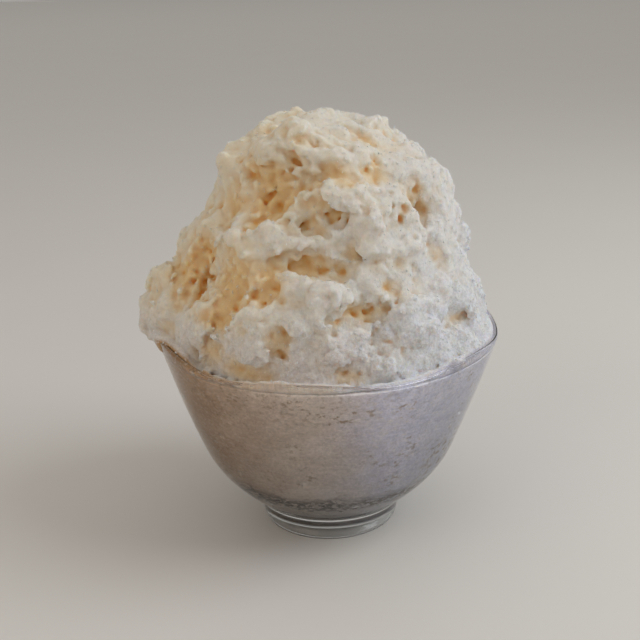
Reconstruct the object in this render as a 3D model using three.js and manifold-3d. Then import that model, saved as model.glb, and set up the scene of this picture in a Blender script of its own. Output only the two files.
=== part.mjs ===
// Shaved ice heaped in a clear glass bowl with a ring foot.
// Millimetres, Z up. The bowl stands on z = 0 and its front is towards -Y.
import * as THREE from 'three';
import { ParametricGeometry } from 'three/addons/geometries/ParametricGeometry.js';
import { ImprovedNoise } from 'three/addons/math/ImprovedNoise.js';
import { mergeVertices } from 'three/addons/utils/BufferGeometryUtils.js';
import Module from 'manifold-3d';

const wasm = await Module();
wasm.setup();
const noise = new ImprovedNoise();
const { degToRad, radToDeg, euclideanModulo, smoothstep } = THREE.MathUtils;

// Bowl: a ring foot, a round hip and a wall that leans out to the rim.
const rimRadius = 65;
const rimHeight = 79.2;
const rimRoundness = 1;
const wallThickness = 2.2;
const wallBow = 1.1;
const hipRadius = 49.9;
const hipHeight = 35.6;
const footRadius = 26.7;
const footTopRadius = 27.7;
const footHeight = 9.5;
const footEdge = 0.9;
const recessRadius = 22.6;
const recessDepth = 7;
const floorHeight = 12.5;
const bowlSegments = 60;

// The rim is shaped by hand: six soft lobes, and one long rise at the left.
const rimLobes = 6;
const rimLobeHeight = 1.1;
const rimLobeAzimuth = -98;
const rimSag = -0.5;
const rimRiseHeight = 3;
const rimRiseAzimuth = -160;
const rimRiseWidth = 28;
const rimShapedFrom = 45;

// Ice: the overhang of the heap at the left sets where the whole object's middle is.
const overhangShift = 3.8;
const glassGap = 0.3;
const iceTop = 160;
const iceSegments = 66;
const iceHeapRings = 30;
const lipReach = 8;
const lipAzimuth = 180;
const lipHalfWidth = 19;
const lipHeight = 86;
const lipHalfHeight = 12;

// Relief over the whole heap: wide folds and smaller crumbs, none of it under the rim.
const foldSize = 19;
const foldDepth = 4.6;
const crumbSize = 10;
const crumbDepth = 2.2;
const reliefFull = 86;

// The heap's outline on its four sides, as [distance from the bowl's axis, height], from the rim
// to the top. All four have the same number of points, so they blend into one another.
const heapSides = {
  right: [[62.6, 76], [62, 82], [58.5, 91], [54.5, 102], [54.5, 112], [48.5, 126], [46, 137],
    [36, 146], [22, 156], [11, 159]],
  left: [[62.6, 76], [64, 86], [64, 97], [55, 110], [46.5, 123], [40, 136], [36, 148],
    [27, 154], [18, 158], [9, 160]],
  front: [[62.6, 76], [61, 82], [59, 92], [55, 103], [51, 114], [45, 127], [39, 140],
    [31, 150], [21, 157], [10, 160]],
  back: [[62.6, 76], [61, 83], [58, 93], [54, 104], [49, 116], [43, 129], [37, 141],
    [29, 151], [20, 157], [10, 160]],
};

// Lumps stand out of the heap and hollows sink into it. Azimuths are in degrees.
const lumps = [
  { azimuth: -122, height: 151, radius: 11, depth: 2.5 },
  { azimuth: -86, height: 142, radius: 10, depth: 3 },
  { azimuth: -68, height: 128, radius: 11, depth: 3.5 },
  { azimuth: -20, height: 138, radius: 11, depth: 2 },
  { azimuth: -127, height: 120, radius: 11, depth: 2.5 },
  { azimuth: -92, height: 105, radius: 12, depth: 4 },
  { azimuth: -116, height: 94, radius: 12, depth: 2.5 },
  { azimuth: -60, height: 95, radius: 13, depth: 2 },
  { azimuth: -24, height: 110, radius: 12, depth: 2.5 },
  { azimuth: 150, height: 112, radius: 14, depth: 3.5 },
  { azimuth: 104, height: 136, radius: 14, depth: 3 },
  { azimuth: 70, height: 118, radius: 13, depth: 3 },
  { azimuth: 96, height: 96, radius: 14, depth: 3 },
  { azimuth: 36, height: 100, radius: 13, depth: 3 },
];
const hollows = [
  { azimuth: -113, height: 136, radius: 11, depth: 4 },
  { azimuth: -144, height: 109, radius: 10, depth: 4.5 },
  { azimuth: -96, height: 117, radius: 10, depth: 4.5 },
  { azimuth: -79, height: 98, radius: 8, depth: 2.5 },
  { azimuth: -48, height: 129, radius: 9, depth: 3 },
  { azimuth: -44, height: 112, radius: 8, depth: 2.5 },
  { azimuth: 118, height: 118, radius: 11, depth: 4 },
  { azimuth: 54, height: 134, radius: 11, depth: 3.5 },
  { azimuth: 76, height: 102, radius: 10, depth: 3 },
];

// A bell curve: 1 at 0, fading out past 1.
function bell(distance) {
  return Math.exp(-distance * distance);
}

// The angle between two azimuths, in degrees, from 0 to 180.
function azimuthBetween(one, other) {
  return Math.abs(euclideanModulo(one - other + 180, 360) - 180);
}

function azimuthOf(place) {
  return radToDeg(Math.atan2(place.y, place.x));
}

// How far the bowl's wall is lifted at an azimuth: nothing low down, the whole wave at the rim.
function wallLift(azimuth, height) {
  const lobes = rimLobeHeight * Math.cos(degToRad(rimLobes * (azimuth - rimLobeAzimuth)));
  const rise = rimRiseHeight * bell(azimuthBetween(azimuth, rimRiseAzimuth) / rimRiseWidth);
  return (rimSag + lobes + rise) * smoothstep(height, rimShapedFrom, rimHeight);
}

// A point of the bowl's outline, in [distance from the axis, height].
function at(radius, height) {
  return new THREE.Vector2(radius, height);
}

// The wall between hip and rim, as a curve a little way outside or inside the outer face.
function wallCurve(offset) {
  return new THREE.QuadraticBezierCurve(
    at(hipRadius + offset, hipHeight),
    at((hipRadius + rimRadius) / 2 + wallBow + offset, (hipHeight + rimHeight) / 2),
    at(rimRadius + offset, rimHeight - rimRoundness),
  );
}

// The inside of the bowl below the hip, down to the middle of its floor.
function cupCurve(offset, floor) {
  return new THREE.CubicBezierCurve(
    at(hipRadius + offset, hipHeight),
    at(hipRadius + offset - 2.7, hipHeight - 15),
    at(hipRadius + offset - 20, floor),
    at(0, floor),
  );
}

// The underside: a recess inside the ring foot, and the flat ring that the bowl stands on.
function undersideOutline() {
  return [
    at(0, recessDepth),
    at(recessRadius * 0.55, recessDepth),
    at(recessRadius - 2, recessDepth - 0.6),
    at(recessRadius, recessDepth - 2.6),
    at(recessRadius + 0.6, footEdge),
    at(recessRadius + 1.5, 0),
    at(footRadius - footEdge, 0),
    at(footRadius, footEdge),
  ];
}

// The glass from its underside out round the rim and down to its floor. Growing it moves every
// face that meets the ice outwards, which leaves room for a gap.
function bowlOutline(grow) {
  const hip = new THREE.CubicBezierCurve(
    at(footTopRadius, footHeight),
    at(footTopRadius + 9.8, footHeight + 6),
    at(hipRadius - 2.4, hipHeight - 8.6),
    at(hipRadius + grow, hipHeight),
  );
  const halfRim = wallThickness / 2 + grow;
  const rim = [30, 90, 150].map((turn) => at(
    rimRadius - wallThickness / 2 + halfRim * Math.cos(degToRad(turn)),
    rimHeight - rimRoundness + (rimRoundness + grow) * Math.sin(degToRad(turn)),
  ));
  return [
    ...undersideOutline(),
    ...hip.getPoints(6),
    ...wallCurve(grow).getPoints(5).slice(1),
    ...rim,
    ...wallCurve(-wallThickness - grow).getPoints(5).reverse(),
    ...cupCurve(-wallThickness - grow, floorHeight + grow).getPoints(6).slice(1),
  ];
}

function withSharedVertices(geometry) {
  geometry.deleteAttribute('normal');
  geometry.deleteAttribute('uv');
  return mergeVertices(geometry, 1e-4);
}

function bowlGeometry(grow) {
  const lathe = new THREE.LatheGeometry(bowlOutline(grow), bowlSegments);
  lathe.rotateX(Math.PI / 2);
  const bowl = withSharedVertices(lathe);
  const places = bowl.attributes.position;
  const place = new THREE.Vector3();
  for (let i = 0; i < places.count; i += 1) {
    place.fromBufferAttribute(places, i);
    places.setZ(i, place.z + wallLift(azimuthOf(place), place.z));
  }
  return bowl;
}

// The part of the ice that the glass hides: out to the middle of the wall, so that cutting the
// glass out of it leaves it lying against the inside.
const fillOutline = [
  ...cupCurve(-wallThickness / 2, floorHeight - 1).getPoints(6).reverse(),
  ...wallCurve(-wallThickness / 2).getPoints(5).slice(1, -1),
];

const heapCurves = Object.fromEntries(Object.entries(heapSides).map(([side, points]) => {
  const outline = [...points, [0, iceTop]].map(([radius, height]) => at(radius, height));
  return [side, new THREE.SplineCurve(outline)];
}));

function onCircle(azimuth, { x: radius, y: height }, target) {
  const turn = degToRad(azimuth);
  return target.set(radius * Math.cos(turn), radius * Math.sin(turn), height);
}

// The smooth heap: two of its four sides, blended by azimuth.
function smoothHeap(azimuth, share) {
  const across = Math.cos(degToRad(azimuth));
  const along = Math.sin(degToRad(azimuth));
  const side = heapCurves[across > 0 ? 'right' : 'left'].getPoint(share);
  const face = heapCurves[along > 0 ? 'back' : 'front'].getPoint(share);
  return side.lerp(face, along * along);
}

function bump({ azimuth, height, radius, depth }, place) {
  const arc = degToRad(azimuthBetween(azimuth, azimuthOf(place)));
  const aside = arc * Math.hypot(place.x, place.y);
  return depth * bell(Math.hypot(aside, place.z - height) / radius);
}

function noiseAt(place, size) {
  return noise.noise(place.x / size, place.y / size, place.z / size);
}

// How far the ice stands off the smooth heap at a place on it.
function relief(place) {
  const raised = lumps.reduce((sum, lump) => sum + bump(lump, place), 0);
  const sunk = hollows.reduce((sum, hollow) => sum + bump(hollow, place), 0);
  const texture = foldDepth * noiseAt(place, foldSize) + crumbDepth * noiseAt(place, crumbSize);
  return (texture + raised - sunk) * smoothstep(place.z, rimHeight, reliefFull);
}

// The lip of ice that hangs over the rim at the left, as a distance outwards.
function lip(azimuth, height) {
  const round = bell(azimuthBetween(azimuth, lipAzimuth) / lipHalfWidth);
  return lipReach * round * bell((height - lipHeight) / lipHalfHeight);
}

function heapPlace(azimuth, share, target) {
  const outline = smoothHeap(azimuth, share);
  const overRim = lip(azimuth, outline.y);
  onCircle(azimuth, outline, target);
  const outwards = new THREE.Vector3(target.x, target.y, target.z - rimHeight).normalize();
  target.addScaledVector(outwards, relief(target));
  target.x += overRim * Math.cos(degToRad(azimuth));
  target.y += overRim * Math.sin(degToRad(azimuth));
}

// The ice before the glass is cut out of it, as one closed skin from its lowest point to its top.
function rawIceGeometry() {
  const rings = fillOutline.length + iceHeapRings;
  const placeOnSkin = (share, rise, target) => {
    const azimuth = share * 360;
    const ring = Math.round(rise * rings);
    if (ring < fillOutline.length) {
      onCircle(azimuth, fillOutline[ring], target);
    } else {
      heapPlace(azimuth, (ring - fillOutline.length) / iceHeapRings, target);
    }
  };
  return withSharedVertices(new ParametricGeometry(placeOnSkin, iceSegments, rings));
}

function solid(geometry) {
  const vertProperties = new Float32Array(geometry.attributes.position.array);
  const triVerts = new Uint32Array(geometry.index.array);
  return new wasm.Manifold(new wasm.Mesh({ numProp: 3, vertProperties, triVerts }));
}

function iceGeometry() {
  const cut = solid(rawIceGeometry()).subtract(solid(bowlGeometry(glassGap)));
  const { vertProperties, triVerts } = cut.getMesh();
  const ice = new THREE.BufferGeometry();
  ice.setAttribute('position', new THREE.BufferAttribute(vertProperties, 3));
  ice.setIndex(new THREE.BufferAttribute(triVerts, 1));
  return ice;
}

function part(name, geometry, finish) {
  const mesh = new THREE.Mesh(geometry, new THREE.MeshStandardMaterial(finish));
  mesh.name = name;
  return mesh;
}

const dessert = new THREE.Group();
dessert.position.x = overhangShift;
dessert.add(
  part('bowl', bowlGeometry(0), { color: 0xc9d2d8, roughness: 0.05, metalness: 0 }),
  part('shaved_ice', iceGeometry(), { color: 0xc8b998, roughness: 0.75, metalness: 0 }),
);

export default dessert;
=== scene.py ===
"""Milky shaved ice heaped in a clear glass bowl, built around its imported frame."""

import math
from itertools import product
from typing import NamedTuple

import bmesh
import bpy
import numpy as np
import openvdb as vdb
from bpy.props import FloatProperty, FloatVectorProperty, IntProperty, PointerProperty
from mathutils import Matrix, Vector


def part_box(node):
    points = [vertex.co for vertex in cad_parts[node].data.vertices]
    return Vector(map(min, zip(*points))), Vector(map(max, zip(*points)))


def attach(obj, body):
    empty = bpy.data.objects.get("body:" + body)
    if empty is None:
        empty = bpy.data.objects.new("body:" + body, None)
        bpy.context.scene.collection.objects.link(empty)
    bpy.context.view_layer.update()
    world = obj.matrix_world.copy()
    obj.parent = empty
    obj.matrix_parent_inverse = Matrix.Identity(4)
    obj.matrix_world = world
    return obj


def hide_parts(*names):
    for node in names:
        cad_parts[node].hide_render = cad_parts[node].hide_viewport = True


bl_info = {
    "name": "Shaved Ice Dessert",
    "version": (1, 0, 0),
    "blender": (4, 5, 0),
    "location": "3D View > Sidebar > Dessert",
    "description": "Builds milky shaved ice in a clear glass bowl around its packed frame",
    "category": "Object",
}

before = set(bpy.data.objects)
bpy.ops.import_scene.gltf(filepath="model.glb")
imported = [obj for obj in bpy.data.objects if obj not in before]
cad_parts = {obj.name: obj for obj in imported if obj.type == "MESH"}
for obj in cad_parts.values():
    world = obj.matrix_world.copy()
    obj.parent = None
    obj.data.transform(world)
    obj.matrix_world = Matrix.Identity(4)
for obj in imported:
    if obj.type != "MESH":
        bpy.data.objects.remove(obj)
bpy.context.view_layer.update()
MM = 0.001

BODY = "root"
BOWL_NODE = "bowl"
ICE_NODE = "shaved_ice"

# The camera, in millimetres and degrees. The picture is square, and places that are named in
# pixels below are in its 640 by 640 frame.
PICTURE = 640
CAMERA_PLACE = (1.44, -367.0, 205.3)
CAMERA_PITCH = 18.83
CAMERA_ROLL = 1.54
CAMERA_LENS = 57.1
CAMERA_SENSOR = 36.0
NEAREST_SIGHT = 250.0
FARTHEST_SIGHT = 480.0

# Heights in millimetres. The filling and the heap overlap behind the glass, just under the rim.
HEAP_FLOOR = 72.0
FILLING_TOP = 76.0
RIM_HEIGHT = 80.0
BACK_MARKS_START = 84.0
LOWEST_POCKET = 16.0
HIGHEST_POCKET = 74.0
LOW_BAND = 21.0

# A place on the ice is out of sight when the dot product of its normal and its way to the camera,
# in millimetres, is below this.
OUT_OF_SIGHT = -170.0


class Mark(NamedTuple):
    """A lump, a trim or a hollow, set on the ice at a pixel. Sizes are in millimetres."""

    across: float
    down: float
    width: float
    height: float
    depth: float


class Pool(NamedTuple):
    """A place where tan shows in the ice: partly milk pooled in a hollow, partly painted shade. Sizes are in
    millimetres, strength is 0 to 1.
    """

    across: float
    down: float
    width: float
    height: float
    strength: float


# Lumps that stand out, places where the outline is drawn in, holes, and pools of tan, which are partly milk
# and partly painted shade in the hollows.
SWELLINGS = (
    Mark(290, 114, 18, 9, 2.5),
    Mark(326, 111, 12, 7, 2.0),
    Mark(366, 121, 20, 9, 2.0),
    Mark(256, 128, 12, 10, 2.0),
    Mark(235, 140, 10, 8, 2.0),
    Mark(223, 156, 8, 8, 1.8),
    Mark(275, 137, 12, 18, 3.0),
    Mark(301, 132, 10, 14, 2.0),
    Mark(314, 147, 12, 10, 2.4),
    Mark(328, 161, 14, 11, 2.8),
    Mark(334, 188, 15, 14, 3.5),
    Mark(353, 200, 10, 14, 3.2),
    Mark(366, 217, 11, 15, 3.2),
    Mark(377, 228, 10, 16, 2.5),
    Mark(387, 196, 11, 18, 2.0),
    Mark(406, 146, 16, 14, 1.8),
    Mark(435, 171, 12, 14, 2.0),
    Mark(442, 200, 10, 16, 1.6),
    Mark(205, 227, 10, 8, 1.6),
    Mark(234, 240, 8, 8, 2.4),
    Mark(257, 232, 10, 5, 2.2),
    Mark(271, 227, 8, 5, 2.0),
    Mark(275, 246, 9, 11, 2.6),
    Mark(305, 242, 15, 5, 2.0),
    Mark(251, 257, 14, 8, 1.4),
    Mark(290, 279, 10, 7, 2.6),
    Mark(309, 290, 24, 9, 3.2),
    Mark(332, 299, 15, 8, 2.6),
    Mark(185, 289, 8, 8, 2.0),
    Mark(203, 304, 8, 8, 2.0),
    Mark(164, 274, 8, 11, 1.8),
    Mark(159, 308, 12, 12, 2.0),
    Mark(192, 326, 15, 10, 2.0),
    Mark(250, 315, 18, 7, 2.2),
    Mark(268, 333, 12, 9, 2.0),
    Mark(304, 324, 12, 8, 1.6),
    Mark(411, 245, 13, 12, 1.6),
    Mark(460, 236, 8, 9, 1.8),
    Mark(444, 286, 12, 12, 1.4),
    Mark(374, 254, 13, 7, 1.5),
    Mark(421, 303, 22, 7, 1.8),
    Mark(470, 303, 9, 12, 1.5),
    Mark(378, 297, 11, 7, 1.4),
    Mark(362, 332, 12, 7, 1.4),
    Mark(420, 332, 20, 9, 1.8),
    Mark(326, 357, 15, 8, 1.2),
    Mark(384, 368, 14, 6, 1.4),
    Mark(457, 363, 6, 3.5, 2.0),
    Mark(161, 272, 17, 17, 2.2),
    Mark(147, 329, 9, 8, 2.4),
    Mark(184, 240, 15, 15, 2.2),
    Mark(455, 208, 8, 10, 1.4),
    Mark(447, 178, 9, 18, 1.6),
    Mark(467, 230, 7, 7, 1.0),
)
TRIMS = (
    Mark(245, 128, 17, 11, 1.4),
    Mark(279, 108, 9, 8, 1.6),
    Mark(149, 289, 13, 12, 3.0),
    Mark(209, 199, 13, 12, 2.5),
    Mark(341, 110, 14, 10, 1.7),
    Mark(396, 130, 16, 11, 3.2),
    Mark(411, 134, 12, 12, 1.8),
    Mark(425, 144, 17, 16, 3.8),
    Mark(436, 159, 12, 12, 1.8),
    Mark(471, 259, 11, 14, 2.4),
)
HOLLOWS = (
    Mark(246, 174, 4.5, 4.2, 6.5),
    Mark(287, 170, 13, 9, 4.5),
    Mark(290, 155, 3.5, 8, 2.0),
    Mark(265, 188, 10, 9, 3.6),
    Mark(275, 204, 6.5, 5.2, 7.0),
    Mark(270, 216, 5, 3.4, 3.0),
    Mark(304, 210, 11, 9, 4.6),
    Mark(309, 185, 4.5, 8, 2.2),
    Mark(333, 217, 7.5, 5.5, 4.6),
    Mark(314, 228, 9, 2.6, 3.2),
    Mark(251, 221, 4.6, 6, 3.2),
    Mark(241, 148, 10, 3.6, 1.6),
    Mark(268, 131, 6, 4, 1.2),
    Mark(311, 141, 5, 1.8, 1.7),
    Mark(366, 137, 2.6, 8.5, 2.5),
    Mark(367, 166, 7, 3.6, 2.6),
    Mark(379, 178, 5, 2.8, 1.8),
    Mark(342, 182, 5, 4, 2.2),
    Mark(331, 168, 4, 2.6, 1.6),
    Mark(396, 148, 5, 2.4, 1.5),
    Mark(415, 191, 3.6, 13, 3.6),
    Mark(402, 211, 8, 6, 4.0),
    Mark(420, 212, 8, 3, 2.4),
    Mark(207, 236, 6, 4.5, 1.8),
    Mark(200, 255, 4.5, 6, 2.6),
    Mark(198, 276, 6.2, 12, 9.0),
    Mark(201, 295, 3, 3, 5.0),
    Mark(224, 268, 10, 8, 2.4),
    Mark(234, 298, 6, 9, 4.0),
    Mark(256, 293, 4.6, 4.2, 6.5),
    Mark(271, 286, 3.4, 4.5, 3.4),
    Mark(270, 264, 6, 3.4, 3.0),
    Mark(250, 269, 8, 2.6, 1.8),
    Mark(214, 320, 6, 4.6, 4.0),
    Mark(223, 311, 3, 3, 2.2),
    Mark(184, 325, 3.6, 6, 2.4),
    Mark(302, 260, 9, 4, 2.6),
    Mark(318, 268, 11, 4, 3.4),
    Mark(334, 277, 6, 3.6, 3.6),
    Mark(348, 257, 12, 2.2, 2.4),
    Mark(343, 273, 3.6, 3, 3.0),
    Mark(343, 243, 4.6, 2, 2.0),
    Mark(380, 243, 4.6, 2.8, 2.0),
    Mark(377, 260, 4.6, 2.4, 2.0),
    Mark(402, 264, 3.6, 1.8, 1.6),
    Mark(413, 233, 5, 3.6, 2.0),
    Mark(396, 235, 3.6, 4.6, 1.6),
    Mark(435, 250, 3.6, 4.6, 2.2),
    Mark(440, 261, 5, 3.2, 2.4),
    Mark(419, 278, 5, 7, 2.0),
    Mark(391, 289, 3, 3, 2.0),
    Mark(360, 314, 13, 5, 7.0),
    Mark(336, 325, 8, 2.8, 2.5),
    Mark(383, 347, 5.5, 6, 3.5),
    Mark(396, 337, 8, 7, 1.8),
    Mark(407, 354, 3.4, 3, 1.6),
    Mark(425, 317, 3.6, 2, 2.0),
    Mark(456, 319, 9, 2.2, 2.2),
    Mark(279, 354, 4, 4, 5.5),
    Mark(275, 336, 8, 2.6, 2.2),
    Mark(217, 352, 8, 7, 1.8),
    Mark(195, 358, 6, 4, 2.5),
    Mark(236, 370, 8, 2.6, 2.2),
    Mark(265, 370, 4, 3.6, 2.0),
    Mark(354, 374, 7, 4.2, 2.5),
    Mark(307, 352, 6, 4.6, 1.6),
    Mark(181, 274, 6, 4.6, 1.6),
)
POOLS = (
    Pool(278, 196, 17, 23, 0.85),
    Pool(238, 200, 15, 13, 0.6),
    Pool(252, 160, 13, 17, 0.5),
    Pool(320, 203, 13, 17, 0.5),
    Pool(200, 268, 13, 23, 1.0),
    Pool(233, 292, 17, 23, 0.85),
    Pool(173, 272, 10, 9, 0.5),
    Pool(265, 283, 22, 12, 0.65),
    Pool(313, 267, 18, 10, 0.45),
    Pool(361, 314, 14, 7, 0.6),
    Pool(392, 347, 12, 8, 0.25),
    Pool(412, 200, 17, 15, 0.5),
    Pool(437, 255, 6, 6, 0.4),
    Pool(213, 317, 10, 8, 0.75),
    Pool(212, 354, 15, 8, 0.7),
    Pool(246, 371, 20, 8, 0.8),
    Pool(350, 376, 10, 7, 0.8),
    Pool(268, 131, 9, 6, 0.5),
    Pool(369, 138, 7, 10, 0.5),
    Pool(374, 168, 11, 10, 0.5),
    Pool(340, 178, 9, 12, 0.5),
    Pool(279, 346, 10, 12, 0.7),
    Pool(352, 252, 10, 6, 0.4),
    Pool(454, 318, 9, 5, 0.5),
    Pool(380, 262, 14, 8, 0.3),
    Pool(390, 290, 12, 8, 0.3),
    Pool(160, 300, 9, 12, 0.3),
    Pool(300, 132, 22, 8, 0.25),
    Pool(404, 142, 24, 16, 0.22),
    Pool(370, 210, 14, 20, 0.2),
    Pool(320, 345, 22, 12, 0.2),
)


def linked(name, data):
    """A new object of some data, in the scene."""
    made = bpy.data.objects.new(name, data)
    bpy.context.scene.collection.objects.link(made)
    return made


def clamp01(value):
    return np.clip(value, 0.0, 1.0)


def eased(value, low, high):
    """0 below low, 1 above high and a smooth rise between them."""
    share = clamp01((value - low) / (high - low))
    return share * share * (3 - 2 * share)


def camera_axes():
    """The camera's right, up and forward directions."""
    pitch = math.radians(CAMERA_PITCH)
    roll = math.radians(CAMERA_ROLL)
    forward = Vector((0, math.cos(pitch), -math.sin(pitch)))
    level_up = Vector((0, math.sin(pitch), math.cos(pitch)))
    right = Vector((1, 0, 0)) * math.cos(roll) - level_up * math.sin(roll)
    up = Vector((1, 0, 0)) * math.sin(roll) + level_up * math.cos(roll)
    return right, up, forward


def sight_line(across, down):
    """The camera's place and the direction in which it sees a pixel, in millimetres."""
    right, up, forward = camera_axes()
    per_pixel = CAMERA_SENSOR / CAMERA_LENS / PICTURE
    half = PICTURE / 2
    ray = forward + right * (across - half) * per_pixel - up * (down - half) * per_pixel
    return np.array(CAMERA_PLACE), np.array(ray.normalized())


# ---- Fields: the ice as signed distances on an even grid, in millimetres, below zero inside it ----


def union(one, other, blend):
    """The smaller of two distances, rounded where they meet."""
    share = clamp01(0.5 + 0.5 * (other - one) / blend)
    return other + (one - other) * share - blend * share * (1 - share)


def without(field, cutter, blend):
    """A field less what is inside a cutter, with rounded edges."""
    return -union(-field, cutter, blend)


class Grid:
    """An even grid of cells over a box, and the ice's distance field on it."""

    def __init__(self, low, high, cell):
        self.low = np.array(low, float)
        self.cell = cell
        counts = np.ceil((np.array(high) - low) / cell) + 1
        self.shape = tuple(int(n) for n in np.ceil(counts / 8) * 8)
        self.field = None

    def axis(self, index):
        """The grid's coordinates along one axis, shaped so that they spread over the grid."""
        values = self.low[index] + np.arange(self.shape[index], dtype=np.float32) * self.cell
        shape = [1, 1, 1]
        shape[index] = -1
        return values.reshape(shape)

    def distances_to(self, node, reach):
        """Signed distances to a CAD node's surface, right to a reach and constant past it."""
        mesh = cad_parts[node].data
        mesh.calc_loop_triangles()
        corners = np.zeros(len(mesh.loop_triangles) * 3, np.int32)
        mesh.loop_triangles.foreach_get("vertices", corners)
        places = (vertex_places(mesh) - self.low) / self.cell
        level = vdb.FloatGrid.createLevelSetFromPolygons(
            places.astype(np.float32),
            triangles=corners.reshape(-1, 3).astype(np.uint32),
            halfWidth=reach / self.cell,
        )
        out = np.zeros(self.shape, np.float32)
        level.copyToArray(out)
        return out * self.cell

    def noise(self, size, seed):
        """Smooth random values of about -1 to 1, in lumps of about one size."""
        white = np.random.default_rng(seed).standard_normal(self.shape).astype(np.float32)
        waves = np.fft.rfftn(white)
        across = np.fft.fftfreq(self.shape[0], self.cell)[:, None, None]
        along = np.fft.fftfreq(self.shape[1], self.cell)[None, :, None]
        upward = np.fft.rfftfreq(self.shape[2], self.cell)[None, None, :]
        pace = (across**2 + along**2 + upward**2) * (2 * size) ** 2
        out = np.fft.irfftn(waves * (pace * np.exp(-pace)), self.shape, (0, 1, 2)).astype(np.float32)
        return out / (2.0 * out.std())

    def lumps(self, size, seed):
        """Values of about -0.6 to 1.8: rounded lumps of about one size, with creases between them."""
        return np.abs(self.noise(size, seed)) * 1.6 - 0.64

    def at(self, values, places):
        """Values of the grid at places, mixed from the eight cells round each."""
        cells = (np.asarray(places) - self.low) / self.cell
        cells = np.clip(cells, 0, np.array(self.shape) - 1.001)
        base = cells.astype(int)
        part = cells - base
        total = 0.0
        for corner in product((0, 1), repeat=3):
            share = np.prod(np.where(corner, part, 1 - part), axis=-1)
            spot = base + corner
            total = total + share * values[spot[..., 0], spot[..., 1], spot[..., 2]]
        return total

    def slope(self, places):
        """The outward direction of the ice's surface at places."""
        parts = [
            self.at(self.field, places + offset) - self.at(self.field, places - offset)
            for offset in np.eye(3) * self.cell
        ]
        out = np.stack(parts, axis=-1)
        out[..., 2] += 1e-5
        return out / np.linalg.norm(out, axis=-1, keepdims=True)

    def seen(self, across, down):
        """The place on the ice that the camera sees at a pixel, or the one nearest to its line."""
        start, ray = sight_line(across, down)
        steps = np.arange(NEAREST_SIGHT, FARTHEST_SIGHT, self.cell / 2)
        places = start + steps[:, None] * ray
        top = self.low + (np.array(self.shape) - 1) * self.cell
        inside = np.all((places > self.low) & (places < top), axis=1)
        values = np.where(inside, self.at(self.field, places), np.inf)
        hit = values < 0
        return places[np.argmax(hit) if hit.any() else np.argmin(values)]

    def blob(self, centre, radii, axes, margin):
        """Where a stretched ball and a margin round it lie in the grid, and its distances there."""
        reach = float(max(radii)) + margin
        low = np.maximum(np.floor((centre - reach - self.low) / self.cell).astype(int), 0)
        high = np.minimum(np.ceil((centre + reach - self.low) / self.cell).astype(int) + 1, self.shape)
        if np.any(low >= high):
            return None, None
        window = tuple(slice(a, b) for a, b in zip(low, high))
        offsets = [
            self.low[i] + np.arange(low[i], high[i]) * self.cell - centre[i] for i in range(3)
        ]
        spread = np.stack(np.meshgrid(*offsets, indexing="ij"), axis=-1)
        local = spread @ np.array(axes).T / radii
        size = np.linalg.norm(local, axis=-1)
        growth = np.linalg.norm(local / radii, axis=-1) + 1e-6
        return window, (size * (size - 1) / growth).astype(np.float32)

    def join_blob(self, join, centre, radii, axes, blend, rough, torn):
        """Joins a stretched ball, its outline torn by a share of its smallest radius."""
        depth = float(min(radii)) * torn
        window, away = self.blob(centre, radii, axes, 1.5 * blend + 2 * depth)
        if window is not None:
            self.field[window] = join(self.field[window], away + rough[window] * depth, blend)

    def add_blob(self, *shape):
        self.join_blob(union, *shape)

    def cut_blob(self, *shape):
        self.join_blob(without, *shape)


def blurred(values, reach):
    """Values averaged twice over boxes that reach a number of cells each way."""
    out = values
    for index in (0, 1, 2, 0, 1, 2):
        pad = [(0, 0)] * 3
        pad[index] = (reach + 1, reach)
        sums = np.cumsum(np.pad(out, pad, mode="edge"), axis=index, dtype=np.float64)
        width = 2 * reach + 1
        count = out.shape[index]
        after = np.take(sums, np.arange(width, width + count), index)
        before = np.take(sums, np.arange(count), index)
        out = ((after - before) / width).astype(np.float32)
    return out


def facing(normal, turn):
    """Three directions at right angles: two along a surface, turned by an angle, and its normal."""
    side = np.cross((0.0, 0.0, 1.0), normal)
    if np.linalg.norm(side) < 0.1:
        side = np.cross((0.0, 1.0, 0.0), normal)
    side = side / np.linalg.norm(side)
    rise = np.cross(normal, side)
    cos, sin = math.cos(turn), math.sin(turn)
    return np.array((cos * side + sin * rise, cos * rise - sin * side, normal))


def largest_part(quads, count):
    """Which of a mesh's faces belong to its largest joined part."""
    label = np.arange(count)
    while True:
        lowest = label[quads].min(axis=1)
        fresh = label.copy()
        np.minimum.at(fresh, quads.ravel(), np.repeat(lowest, 4))
        fresh = fresh[fresh]
        if np.array_equal(fresh, label):
            break
        label = fresh
    faces = label[quads[:, 0]]
    return faces == np.argmax(np.bincount(faces))


def mesh_of(grid, name, triangles):
    """The ice's surface in a grid as a mesh of a number of triangles, without its loose crumbs."""
    level = vdb.FloatGrid(float(grid.field.max()))
    level.copyFromArray(np.ascontiguousarray(grid.field))
    points, quads = level.convertToQuads(isovalue=0.0)
    quads = quads.astype(np.int64)
    quads = quads[largest_part(quads, len(points))]
    used, quads = np.unique(quads, return_inverse=True)
    quads = quads.reshape(-1, 4)[:, ::-1]
    places = points[used] * grid.cell + grid.low
    mesh = bpy.data.meshes.new(name)
    mesh.vertices.add(len(places))
    mesh.vertices.foreach_set("co", (places * MM).astype(np.float32).ravel())
    mesh.loops.add(quads.size)
    mesh.loops.foreach_set("vertex_index", quads.astype(np.int32).ravel())
    mesh.polygons.add(len(quads))
    mesh.polygons.foreach_set("loop_start", np.arange(0, quads.size, 4, dtype=np.int32))
    mesh.update(calc_edges=True)
    mesh.validate()
    reducer = linked(name, mesh)
    fewer = reducer.modifiers.new("fewer", "DECIMATE")
    fewer.ratio = min(1.0, triangles / (2 * len(quads)))
    mesh = evaluated_mesh(reducer)
    bpy.data.objects.remove(reducer)
    mesh.name = name
    mesh.shade_smooth()
    return mesh, vertex_places(mesh)


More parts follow.
